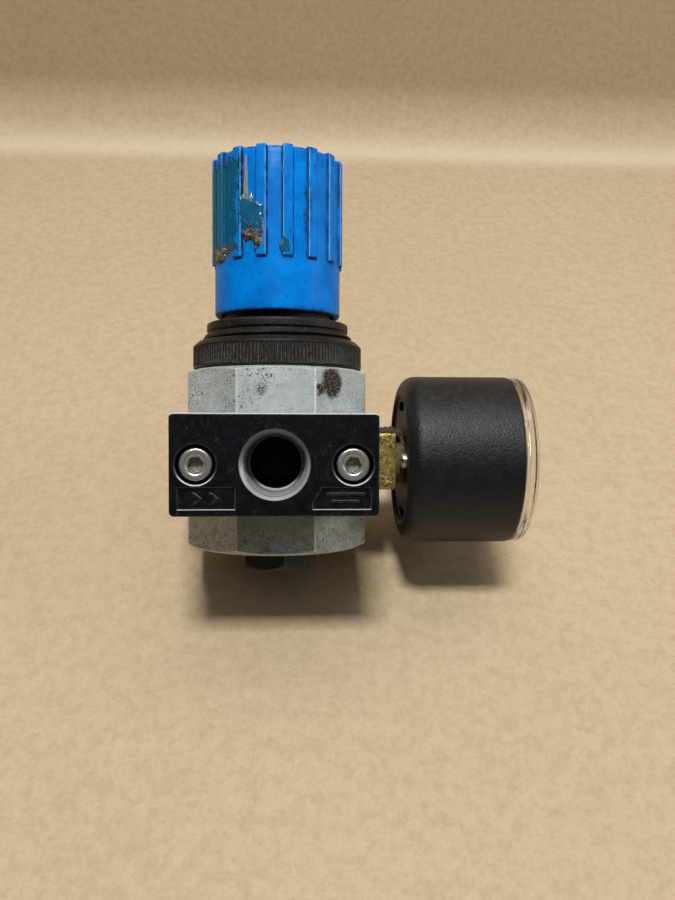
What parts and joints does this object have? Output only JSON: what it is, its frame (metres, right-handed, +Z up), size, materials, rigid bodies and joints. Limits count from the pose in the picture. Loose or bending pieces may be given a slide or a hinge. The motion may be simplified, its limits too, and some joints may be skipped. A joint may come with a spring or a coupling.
{
  "type": "air pressure regulator",
  "caption": "Small in-line compressed-air regulator with a ribbed push-lock knob, panel nut, octagonal body, screwed-on port plates and a round dial gauge on one side.",
  "frame": {"origin": "centre of the bottom plug's flat end face", "axes": "+Z up along the regulator's axis to the knob, -Y out of the outlet port, +Y out of the inlet port, +X along the gauge's axis towards its dial"},
  "size_m": [0.0822, 0.064, 0.0966],
  "materials": {
    "painted_cast": "light grey paint on a fine cast skin, worn and speckled with dirt",
    "black_coated": "glossy black coating with fine specks",
    "steel": "bright zinc-plated, slightly dulled",
    "spring_steel": "drawn wire",
    "brass": "dull, with green and brown patina outside",
    "blue_plastic": "semi-gloss moulded, grimy along the ribs",
    "black_plastic": "moulded, dusty in the knurl",
    "bonnet_plastic": "dusty dark moulded thread",
    "case_plastic": "fine pebbled black moulding",
    "seal_rubber": "smooth elastomer",
    "white_plastic": "smooth",
    "dial_white": "white enamelled sheet with a printed scale",
    "clear_plastic": "clear moulded acrylic, slightly yellowed rim"
  },
  "bodies": {
    "regulator": {"housing": "painted_cast", "outlet_plate": "black_coated", "inlet_plate": "black_coated", "outlet_plate_screw_left": "steel", "outlet_plate_screw_right": "steel", "inlet_plate_screw_left": "steel", "inlet_plate_screw_right": "steel", "outlet_plate_seal": "seal_rubber", "inlet_plate_seal": "seal_rubber", "bottom_plug": "black_plastic", "bottom_plug_seal": "seal_rubber", "valve_spring": "spring_steel", "diaphragm": "seal_rubber", "bonnet": "bonnet_plastic", "regulating_spring": "spring_steel", "thrust_washer": "white_plastic", "gauge_port_plug": "black_coated", "gauge_port_plug_seal": "seal_rubber", "gauge_socket": "brass", "gauge_seal": "seal_rubber", "gauge_case": "case_plastic", "gauge_case_screw_front": "steel", "gauge_case_screw_rear": "steel", "bourdon_tube": "brass", "movement_frame": "brass", "movement_screw_front": "steel", "movement_screw_rear": "steel", "dial_screw_front": "steel", "dial_screw_rear": "steel", "hairspring": "spring_steel", "gauge_dial": "dial_white", "zero_stop_pin": "steel", "gauge_window": "clear_plastic"},
    "setting_spindle": {"adjusting_spindle": "steel"},
    "knob": {"knob": "blue_plastic"},
    "spring_nut": {"spring_nut": "brass"},
    "ring_nut": {"ring_nut": "black_plastic"},
    "diaphragm_centre": {"diaphragm_plate": "brass", "relief_seat": "brass"},
    "valve": {"valve_poppet": "brass", "valve_seat_seal": "seal_rubber"},
    "pointer": {"gauge_pointer": "black_plastic", "pinion": "steel"},
    "sector": {"sector_gear": "brass"},
    "tube_link": {"tube_link": "brass"}
  },
  "joints": [
    {"name": "knob_turn", "type": "hinge", "parent": "regulator", "child": "setting_spindle", "pos_m": [0, 0, 0.087], "axis": [0, 0, 1], "range_deg": [-900, 900]},
    {"name": "knob_lift", "type": "slide", "parent": "setting_spindle", "child": "knob", "axis": [0, 0, 1], "range_m": [0, 0.003]},
    {"name": "spring_nut_travel", "type": "slide", "parent": "regulator", "child": "spring_nut", "axis": [0, 0, 1], "range_m": [-0.00313, 0.00313], "deforming": ["regulating_spring"]},
    {"name": "ring_nut_turn", "type": "hinge", "parent": "regulator", "child": "ring_nut", "pos_m": [0, 0, 0.0505], "axis": [0, 0, 1], "range_deg": [0, 360]},
    {"name": "diaphragm_travel", "type": "slide", "parent": "regulator", "child": "diaphragm_centre", "axis": [0, 0, 1], "range_m": [-0.0012, 0], "deforming": ["diaphragm"]},
    {"name": "valve_travel", "type": "slide", "parent": "regulator", "child": "valve", "axis": [0, 0, 1], "range_m": [-0.00121, 0], "deforming": ["valve_spring"]},
    {"name": "sector_turn", "type": "hinge", "parent": "regulator", "child": "sector", "pos_m": [0.0405, 0, 0.0162], "axis": [1, 0, 0], "range_deg": [0, 45]},
    {"name": "pointer_turn", "type": "hinge", "parent": "regulator", "child": "pointer", "pos_m": [0.045, 0, 0.026], "axis": [-1, 0, 0], "range_deg": [-0.01, 270.01]},
    {"name": "link_turn", "type": "hinge", "parent": "sector", "child": "tube_link", "pos_m": [0.04335, -0.00122, 0.01324], "axis": [-1, 0, 0], "range_deg": [-0.01, 45.01]}
  ],
  "couplings": [
    {"joint": "spring_nut_travel", "follows": "knob_turn", "m_per_rad": 0.00019894},
    {"joint": "valve_travel", "follows": "diaphragm_travel", "ratio": 1},
    {"joint": "pointer_turn", "follows": "sector_turn", "ratio": 6},
    {"joint": "link_turn", "follows": "sector_turn", "ratio": 1}
  ]
}
